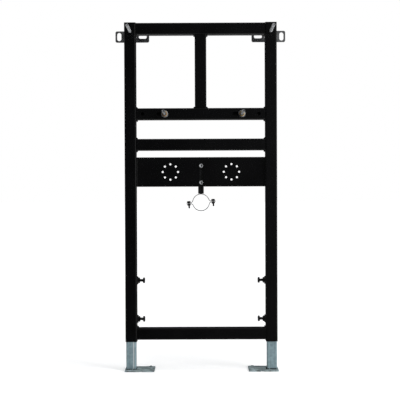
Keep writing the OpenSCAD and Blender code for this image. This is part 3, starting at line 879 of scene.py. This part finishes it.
class BASINFRAME_OT_leg_locks(bpy.types.Operator):
    """Build the nuts and bolts that lock the telescopic legs"""
    bl_idname = "basinframe.leg_locks"
    bl_label = "Leg locks"

    def execute(self, context):
        details = context.scene.basin_details
        coat, steel = finish_of("Black powder coat"), finish_of("Blackened steel")
        head_thick, boss_rim, boss_round, boss_thick = 0.007, 0.014, 0.0008, 0.0045
        for side, way in (("left", 1), ("right", -1)):
            names = [f"lock_nut_{side}_{level}" for level in ("low", "high")]
            low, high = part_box(names[0])
            root = low.x if way > 0 else high.x
            boss = loft("boss", rings(
                (boss_rim, 0), (boss_rim, boss_thick * 0.7), (boss_rim - boss_round, boss_thick * 0.95),
                (boss_rim - 2 * boss_round, boss_thick), (M10_FLATS * 0.59, boss_thick),
                (M10 / 2, boss_thick), (M10 / 2, 0)), hollow=True)
            nut = nut_mesh("nut", M10_FLATS, high.x - low.x - boss_thick, M10)
            nuts = copies(f"locks_{side}", joined("lock", (boss, Matrix()), (nut, lift(boss_thick))),
                          [(root, middle(n).y, middle(n).z) for n in names],
                          (0, way * math.pi / 2, 0), coat)
            piece(f"welded_lock_nuts_{side}", nuts, coat, names)
            for level in ("low", "high"):
                node = f"lock_bolt_{side}_{level}"
                low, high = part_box(node)
                tip = low.x if way > 0 else high.x
                long = high.x - low.x - head_thick
                shank = threaded_bar("shank", M10, details.pitch_m10, long, steel)
                bolt = joined("bolt", (shank, Matrix()),
                              (head_mesh("head", M10_FLATS, head_thick), lift(long)))
                bolt.transform(pointing((tip, middle(node).y, middle(node).z), (way, 0, 0)))
                piece(f"lock_screw_{side}_{level}", bolt, steel, [node], THREAD_CREASE)
        return {"FINISHED"}


class BASINFRAME_OT_drain_holder(bpy.types.Operator):
    """Build the bar, its bolts and the two-part clamp for the drain"""
    bl_idname = "basinframe.drain_holder"
    bl_label = "Drain holder"

    def execute(self, context):
        details = context.scene.basin_details
        zinc, steel = finish_of("Bright zinc plating"), finish_of("Blackened steel")
        head_thick, ear_nut = 0.0065, 0.005
        for level in ("upper", "lower"):
            node = f"drain_bolt_{level}"
            low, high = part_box(node)
            long = high.y - low.y - head_thick
            shank = threaded_bar("shank", M8, details.pitch_m8, long + OVERLAP, zinc)
            bolt = joined("bolt", (shank, Matrix()),
                          (head_mesh("head", M8_FLATS, head_thick), lift(long)))
            bolt.transform(pointing((0, high.y, middle(node).z), FORWARD))
            piece(f"hex_drain_bolt_{level}", bolt, zinc, [node], SCREW_CREASE)
        softened("folded_tap_plate", "tap_plate", details.edge_round * 0.5,
                 finish_of("Black powder coat"))
        softened("pressed_drain_bar", "drain_bar", details.edge_round * 0.7, steel)
        for half in ("upper", "lower"):
            softened(f"rolled_clamp_{half}", f"clamp_{half}", details.edge_round * 0.6, zinc)
        low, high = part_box("clamp_nut")
        base = Matrix.Translation((0, CLAMP_CENTRE.y, low.z))
        nut = nut_mesh("nut", M8_FLATS, high.z - low.z, M8)
        stub = threaded_bar("stub", M8, details.pitch_m8, high.z - low.z - OVERLAP, steel)
        crown = joined("crown", (nut, base @ Matrix.Rotation(math.pi / 6, 4, "Z")), (stub, base))
        piece("clamp_crown_nut", crown, steel, ["clamp_nut"])
        tilt = Matrix.Translation(CLAMP_CENTRE) @ Matrix.Rotation(-CLAMP_TURN, 4, "Y")
        for side, sign in (("left", -1), ("right", 1)):
            head = loft("head", rings(
                (0.0058, 0), (0.0063, 0.0004), (0.0063, SCREW_HEAD * 0.55), (0.0058, SCREW_HEAD * 0.85),
                (0.0046, SCREW_HEAD), (0.0029, SCREW_HEAD)) + [
                hexagon_ring(SCREW_SOCKET, SCREW_HEAD - EDGE_UP),
                hexagon_ring(SCREW_SOCKET, SCREW_HEAD * 0.4), ring(0.0008, SCREW_HEAD * 0.3)])
            shank = threaded_bar("shank", M6, details.pitch_m6, SCREW_TAIL + EAR_OUT + OVERLAP, steel)
            nut = nut_mesh("nut", M6_FLATS, ear_nut, M6)
            screw = joined("screw", (head, lift(EAR_OUT)), (shank, lift(-SCREW_TAIL)),
                           (nut, lift(-EAR_OUT - ear_nut)))
            screw.transform(tilt @ Matrix.Translation((sign * EAR_HOLE_X, 0, 0)))
            piece(f"ear_screw_{side}", screw, finish_of("Oiled black steel"), [f"clamp_screw_{side}"],
                  SCREW_CREASE)
        return {"FINISHED"}


class BASINFRAME_OT_caps_and_feet(bpy.types.Operator):
    """Round the edges of the post caps and the foot plates"""
    bl_idname = "basinframe.caps_and_feet"
    bl_label = "Caps and feet"

    def execute(self, context):
        details = context.scene.basin_details
        for side in ("left", "right"):
            softened(f"moulded_cap_{side}", f"post_cap_{side}", details.edge_round * 1.2,
                     finish_of("Black moulded plastic"), 3)
            softened(f"pressed_foot_{side}", f"foot_{side}", details.edge_round,
                     finish_of("Dull zinc plate"))
        return {"FINISHED"}


class BASINFRAME_OT_weld_seams(bpy.types.Operator):
    """Lay rippled weld beads along the seams of the frame, the tap plate and the feet"""
    bl_idname = "basinframe.weld_seams"
    bl_label = "Weld seams"

    def execute(self, context):
        coat = finish_of("Black powder coat")
        frame_wide, plate_wide, foot_wide = 0.0030, 0.0020, 0.0026
        half, sink = TUBE / 2 - 0.004, 0.0017
        spots = []
        for rail, ways in (("rail_top", (-1,)), ("rail_basin", (-1, 1)), ("rail_middle", (-1, 1)),
                           ("rail_bottom", (1,))):
            low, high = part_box(rail)
            for way in ways:
                z = high.z - WELD_LEG if way > 0 else low.z + WELD_LEG
                for x in (low.x, high.x):
                    spots.append((x - math.copysign(sink, x), z + way * sink))
        low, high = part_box("mullion")
        for z, way in ((low.z, 1), (high.z, -1)):
            for x in (low.x + WELD_LEG, high.x - WELD_LEG):
                spots.append((x + math.copysign(sink, x), z + way * sink))
        seams = [((x, TUBE / 2 - half, z), (x, TUBE / 2 + half, z)) for x, z in spots]
        self.bead("frame_weld_beads", seams, frame_wide, coat, "frame", "black_paint", 7)
        half, sink, z = PLATE_WELD_LEN / 2, 0.0011, middle("tap_plate").z
        seams = [((x, PLATE_FRONT - sink, z - half), (x, PLATE_FRONT - sink, z + half))
                 for x in (-POST_INNER + sink, POST_INNER - sink)]
        self.bead("plate_weld_beads", seams, plate_wide, coat, "frame", "black_paint", 11)
        half, rise = LEG_SIDE / 2 - LEG_CORNER, 0.0010
        z = FOOT_THICK + rise
        for side in ("left", "right"):
            x, y = middle(f"leg_{side}").x, middle(f"leg_{side}").y
            seams = []
            for out in (-LEG_SIDE / 2 - rise, LEG_SIDE / 2 + rise):
                seams.append(((x + out, y - half, z), (x + out, y + half, z)))
                seams.append(((x - half, y + out, z), (x + half, y + out, z)))
            self.bead(f"foot_weld_beads_{side}", seams, foot_wide, finish_of("Burnt weld"),
                      f"{side}_leg", "galvanised", 3)
        return {"FINISHED"}

    def bead(self, name, seams, across, material, body, slot, seed):
        """Lays one bead on each line and lets it ride on a body."""
        base = bpy.data.meshes.new(name)
        base.from_pydata([p for seam in seams for p in seam],
                         [(2 * k, 2 * k + 1) for k in range(len(seams))], [])
        gap = bpy.context.scene.basin_details.ripple_gap
        mesh = grown(name, "Weld bead", {
            "Ripple gap": gap, "Across": across, "Along": gap * 0.85, "Seed": seed,
            "Material": material}, base)
        made = in_scene(name, mesh)
        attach(made, body)


class BASINFRAME_OT_studio(bpy.types.Operator):
    """Set up the floor, the surroundings, the lamps and the camera"""
    bl_idname = "basinframe.studio"
    bl_label = "Studio"

    def execute(self, context):
        studio = context.scene.basin_studio
        self.camera(context, studio)
        self.surroundings(context, studio)
        self.floor(context, studio)
        for name, size, azimuth, elevation, distance in LAMPS:
            power = getattr(studio, name.split("_")[0])
            self.lamp(name, power, size, math.radians(azimuth), math.radians(elevation), distance)
        context.scene.view_settings.view_transform = "Standard"
        return {"FINISHED"}

    def camera(self, context, studio):
        """The camera stands where the photograph was taken from."""
        data = bpy.data.cameras.new("camera")
        data.lens, data.sensor_width = studio.lens, 36.0
        data.clip_start, data.clip_end = 0.05, 100.0
        camera = in_scene("camera", data)
        pitch, yaw, roll = (math.radians(a) for a in studio.camera_turn)
        ahead = Vector((math.sin(yaw) * math.cos(pitch), math.cos(yaw) * math.cos(pitch),
                        math.sin(pitch)))
        level = Vector((math.cos(yaw), -math.sin(yaw), 0))
        upright = level.cross(ahead)
        right = level * math.cos(roll) + upright * math.sin(roll)
        up = upright * math.cos(roll) - level * math.sin(roll)
        turn = Matrix((right, up, -ahead)).transposed().to_4x4()
        camera.matrix_world = Matrix.Translation(studio.camera_place) @ turn
        context.scene.camera = camera

    def surroundings(self, context, studio):
        """White behind the object, even light on it, and a room of its own for shiny faces."""
        world = bpy.data.worlds.new("surroundings")
        world.use_nodes = True
        context.scene.world = world
        tree = world.node_tree
        tree.nodes.clear()
        path = put(tree, "ShaderNodeLightPath").outputs
        mirrored = calc(tree, "MAXIMUM", path["Is Glossy Ray"], path["Is Transmission Ray"])
        room = gloss_room(tree, put(tree, "ShaderNodeTexCoord").outputs["Generated"])
        soft, seen, white = (
            put(tree, "ShaderNodeBackground", {"Color": colour, "Strength": strength}).outputs[0]
            for colour, strength in (((0.96, 0.98, 1, 1), studio.around), (room, 1.0), (grey(1), 1.0)))
        lit = put(tree, "ShaderNodeMixShader", {0: mirrored, 1: soft, 2: seen}).outputs[0]
        ends = put(tree, "ShaderNodeMixShader", {0: path["Is Camera Ray"], 1: lit, 2: white})
        put(tree, "ShaderNodeOutputWorld", {"Surface": ends.outputs[0]})

    def floor(self, context, studio):
        """A pale floor that fades into the white background, keeps the object's shadow and stays
        under the lower foot however far the legs are drawn out. Shiny faces and a camera below it
        look through it."""
        material = bpy.data.materials.new("Pale floor")
        material.use_nodes = True
        tree = material.node_tree
        tree.nodes.clear()
        path = put(tree, "ShaderNodeLightPath").outputs
        seen = calc(tree, "MAXIMUM", path["Is Camera Ray"], path["Is Transmission Ray"])
        place = put(tree, "ShaderNodeTexCoord").outputs["Object"]
        away = put(tree, "ShaderNodeVectorMath", {0: place}, operation="LENGTH").outputs["Value"]
        veil = spread(tree, away, *FLOOR_VEIL)
        matt = put(tree, "ShaderNodeBsdfDiffuse", {"Color": studio.floor}).outputs[0]
        glow = put(tree, "ShaderNodeEmission", {
            "Color": grey(1), "Strength": calc(tree, "MULTIPLY", seen, veil)}).outputs[0]
        both = put(tree, "ShaderNodeAddShader", {0: matt, 1: glow}).outputs[0]
        clear = put(tree, "ShaderNodeBsdfTransparent").outputs[0]
        below = put(tree, "ShaderNodeNewGeometry").outputs["Backfacing"]
        through = calc(tree, "MAXIMUM", below, path["Is Glossy Ray"])
        choice = put(tree, "ShaderNodeMixShader", {0: through, 1: both, 2: clear}).outputs[0]
        put(tree, "ShaderNodeOutputMaterial", {"Surface": choice})
        mesh = bpy.data.meshes.new("floor")
        corners = ((-1, -1), (1, -1), (1, 1), (-1, 1))
        mesh.from_pydata([(x * FLOOR_REACH, y * FLOOR_REACH, -FLOOR_DROP) for x, y in corners], [],
                         [(0, 1, 2, 3)])
        mesh.materials.append(material)
        made = in_scene("floor", mesh)
        made.location.z = LEG_TRAVEL_IN
        for body in ("left_leg", "right_leg"):
            under = made.constraints.new("FLOOR")
            under.target = frame["bodies"][body]
            under.floor_location = "FLOOR_NEGATIVE_Z"

    def lamp(self, name, power, size, azimuth, elevation, distance):
        """A soft box that looks at the middle of the object."""
        data = bpy.data.lights.new(name, "AREA")
        data.shape, data.size, data.size_y, data.energy = "RECTANGLE", size[0], size[1], power
        made = in_scene(name, data)
        level = math.cos(elevation)
        back = Vector((math.sin(azimuth) * level, -math.cos(azimuth) * level, math.sin(elevation)))
        made.location = (CAD_LOW + CAD_HIGH) / 2 + back * distance
        made.rotation_euler = (-back).to_track_quat("-Z", "Y").to_euler()
        made.visible_glossy = False


OPERATORS = (BASINFRAME_OT_studio, BASINFRAME_OT_finishes, BASINFRAME_OT_wall_anchors,
             BASINFRAME_OT_basin_studs, BASINFRAME_OT_leg_locks, BASINFRAME_OT_drain_holder,
             BASINFRAME_OT_caps_and_feet, BASINFRAME_OT_weld_seams)


class BASINFRAME_PT_panel(bpy.types.Panel):
    """Lists the settings and the steps that dress the frame"""
    bl_idname = "BASINFRAME_PT_panel"
    bl_label = "Basin Frame"
    bl_space_type = "VIEW_3D"
    bl_region_type = "UI"
    bl_category = "Basin Frame"

    def draw(self, context):
        for group in (context.scene.basin_finishes, context.scene.basin_details,
                      context.scene.basin_studio):
            box = self.layout.box()
            for key in group.bl_rna.properties.keys():
                if key not in ("rna_type", "name"):
                    box.prop(group, key)
        for step in OPERATORS:
            self.layout.operator(step.bl_idname)


CLASSES = (BasinFrameFinishes, BasinFrameDetails, BasinFrameStudio, *OPERATORS, BASINFRAME_PT_panel)


def register():
    for cls in CLASSES:
        bpy.utils.register_class(cls)
    bpy.types.Scene.basin_finishes = PointerProperty(type=BasinFrameFinishes)
    bpy.types.Scene.basin_details = PointerProperty(type=BasinFrameDetails)
    bpy.types.Scene.basin_studio = PointerProperty(type=BasinFrameStudio)


def unregister():
    del bpy.types.Scene.basin_finishes
    del bpy.types.Scene.basin_details
    del bpy.types.Scene.basin_studio
    for cls in reversed(CLASSES):
        bpy.utils.unregister_class(cls)


def main():
    register()
    bpy.ops.basinframe.studio()
    bpy.ops.basinframe.finishes()
    bpy.ops.basinframe.wall_anchors()
    bpy.ops.basinframe.basin_studs()
    bpy.ops.basinframe.leg_locks()
    bpy.ops.basinframe.drain_holder()
    bpy.ops.basinframe.caps_and_feet()
    bpy.ops.basinframe.weld_seams()


if __name__ == "__main__":
    main()
